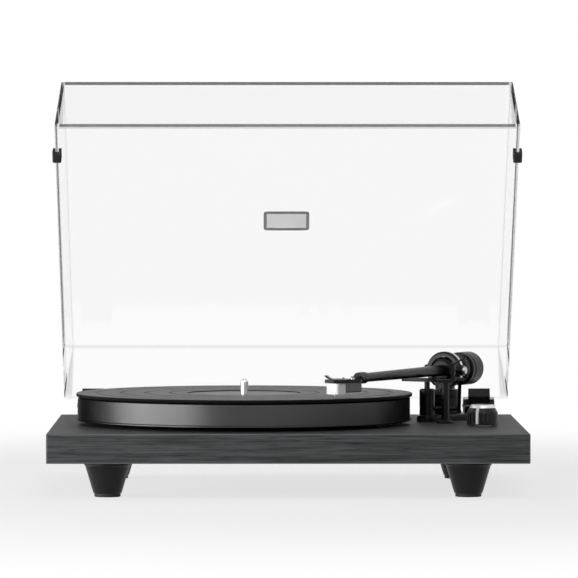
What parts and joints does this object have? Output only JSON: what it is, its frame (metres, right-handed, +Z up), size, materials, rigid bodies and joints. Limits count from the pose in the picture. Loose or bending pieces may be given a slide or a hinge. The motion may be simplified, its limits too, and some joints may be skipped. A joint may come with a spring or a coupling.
{
  "type": "turntable record player",
  "caption": "Belt-drive turntable on a black plinth with cone feet, a gimballed straight arm with cueing lift and counterweight, and a hinged clear lid held part open.",
  "frame": {"origin": "on the surface that the feet stand on, under the centre of the box round the part with its lid held as stored", "axes": "+X to the right along the plinth's front, +Y to the back, +Z up along the platter's spindle"},
  "size_m": [0.42, 0.3927, 0.3641],
  "materials": {
    "black_ash": "black stained ash grain, satin",
    "foot_plastic": "moulded matt black",
    "rubber_black": "matt",
    "belt_rubber": "ground flat",
    "mat_rubber": "satin, moulded rings",
    "screw_steel": "zinc plated",
    "polished_steel": "polished",
    "sheet_black": "fine black powder coat",
    "brass": "turned",
    "gold_plate": "plated",
    "motor_steel": "drawn can",
    "board_green": "circuit board",
    "plastic_black": "moulded",
    "arm_black": "satin black",
    "hinge_black": "moulded",
    "platter_black": "satin black over turned aluminium",
    "pulley_alloy": "turned",
    "knob_black": "fluted",
    "grey_metal": "bent sheet",
    "stylus_white": "moulded",
    "weight_black": "gloss black",
    "dial_black": "gloss black with pale lines",
    "clear_acrylic": "clear, polished"
  },
  "bodies": {
    "plinth": {"plinth": "black_ash", "foot_front_left": "foot_plastic", "foot_front_right": "foot_plastic", "foot_back_left": "foot_plastic", "foot_back_right": "foot_plastic", "foot_pads": "rubber_black", "foot_screws": "screw_steel", "bottom_cover": "sheet_black", "cover_screws": "screw_steel", "bearing_housing": "brass", "thrust_plug": "brass", "thrust_ball": "polished_steel", "motor": "motor_steel", "motor_grommets": "rubber_black", "motor_screws": "screw_steel", "drive_belt": "belt_rubber", "selector_switch": "plastic_black", "selector_nut": "screw_steel", "control_board": "board_green", "terminal_plate": "sheet_black", "terminal_screws": "screw_steel", "rca_sockets": "gold_plate", "earth_post": "gold_plate", "power_inlet": "plastic_black", "arm_base": "arm_black", "arm_pillar": "arm_black", "arm_nut": "screw_steel", "lift_housing": "arm_black", "arm_rest": "plastic_black", "hinge_brackets": "hinge_black", "hinge_pins": "polished_steel", "hinge_screws": "screw_steel"},
    "platter": {"spindle": "polished_steel", "sub_platter": "plastic_black", "platter": "platter_black", "mat": "mat_rubber"},
    "pulley": {"motor_pulley": "pulley_alloy"},
    "selector": {"selector_knob": "knob_black", "selector_shaft": "screw_steel"},
    "arm_yoke": {"gimbal_ring": "arm_black", "gimbal_shaft": "arm_black", "pivot_screws": "screw_steel"},
    "arm": {"pivot_block": "arm_black", "arm_tube": "arm_black", "rear_stub": "arm_black", "headshell": "plastic_black", "finger_lift": "grey_metal", "cartridge": "plastic_black", "cartridge_screws": "screw_steel", "stylus_holder": "stylus_white"},
    "weight_carrier": {"weight_sleeve": "plastic_black"},
    "counterweight": {"counterweight": "weight_black"},
    "dial": {"force_dial": "dial_black"},
    "cue": {"cue_lever": "arm_black"},
    "lift": {"lift_bar": "arm_black"},
    "clip": {"arm_clip": "plastic_black"},
    "skate": {"skate_dial": "plastic_black"},
    "lid": {"lid": "clear_acrylic", "lid_bumpers": "rubber_black", "hinge_clips": "hinge_black"}
  },
  "joints": [
    {"name": "platter_spin", "type": "hinge", "parent": "plinth", "child": "platter", "pos_m": [-0.0385, -0.0244, 0.07], "axis": [0, 0, 1], "continuous": true},
    {"name": "pulley_spin", "type": "hinge", "parent": "plinth", "child": "pulley", "pos_m": [-0.1115, 0.0366, 0.06], "axis": [0, 0, 1], "continuous": true},
    {"name": "selector_turn", "type": "hinge", "parent": "plinth", "child": "selector", "pos_m": [0.174, -0.0614, 0.06], "axis": [0, 0, -1], "range_deg": [0, 90]},
    {"name": "arm_swing", "type": "hinge", "parent": "plinth", "child": "arm_yoke", "pos_m": [0.145, 0.0596, 0.102], "axis": [0, 0, 1], "range_deg": [-23.6, 23.2]},
    {"name": "arm_tilt", "type": "hinge", "parent": "arm_yoke", "child": "arm", "pos_m": [0.145, 0.0596, 0.102], "axis": [-0.9048, 0.4258, 0], "range_deg": [-0.3, 15]},
    {"name": "weight_slide", "type": "slide", "parent": "arm", "child": "weight_carrier", "axis": [-0.4258, -0.9048, 0], "range_m": [-0.0015, 0.0015]},
    {"name": "weight_turn", "type": "hinge", "parent": "weight_carrier", "child": "counterweight", "pos_m": [0.145, 0.0596, 0.102], "axis": [-0.4258, -0.9048, 0], "range_deg": [-360, 360]},
    {"name": "dial_turn", "type": "hinge", "parent": "weight_carrier", "child": "dial", "pos_m": [0.145, 0.0596, 0.102], "axis": [-0.4258, -0.9048, 0], "range_deg": [-180, 180]},
    {"name": "cue_turn", "type": "hinge", "parent": "plinth", "child": "cue", "pos_m": [0.12708, 0.01292, 0.069], "axis": [1, 0, 0], "range_deg": [0, 75]},
    {"name": "lift_slide", "type": "slide", "parent": "plinth", "child": "lift", "axis": [0, 0, 1], "range_m": [-0.002, 0]},
    {"name": "clip_turn", "type": "hinge", "parent": "plinth", "child": "clip", "pos_m": [0.14918, -0.01559, 0.11], "axis": [-0.0349, -0.9994, 0], "range_deg": [0, 150]},
    {"name": "skate_turn", "type": "hinge", "parent": "plinth", "child": "skate", "pos_m": [0.17, 0.0626, 0.066], "axis": [0, 0, -1], "range_deg": [0, 270]},
    {"name": "lid_turn", "type": "hinge", "parent": "plinth", "child": "lid", "pos_m": [0, 0.163, 0.065], "axis": [-1, 0, 0], "range_deg": [-47.3, 18]}
  ],
  "couplings": [
    {"joint": "pulley_spin", "follows": "platter_spin", "ratio": 10},
    {"joint": "weight_slide", "follows": "weight_turn", "m_per_rad": 0.00023873},
    {"joint": "lift_slide", "follows": "cue_turn", "m_per_rad": -0.0015279}
  ]
}
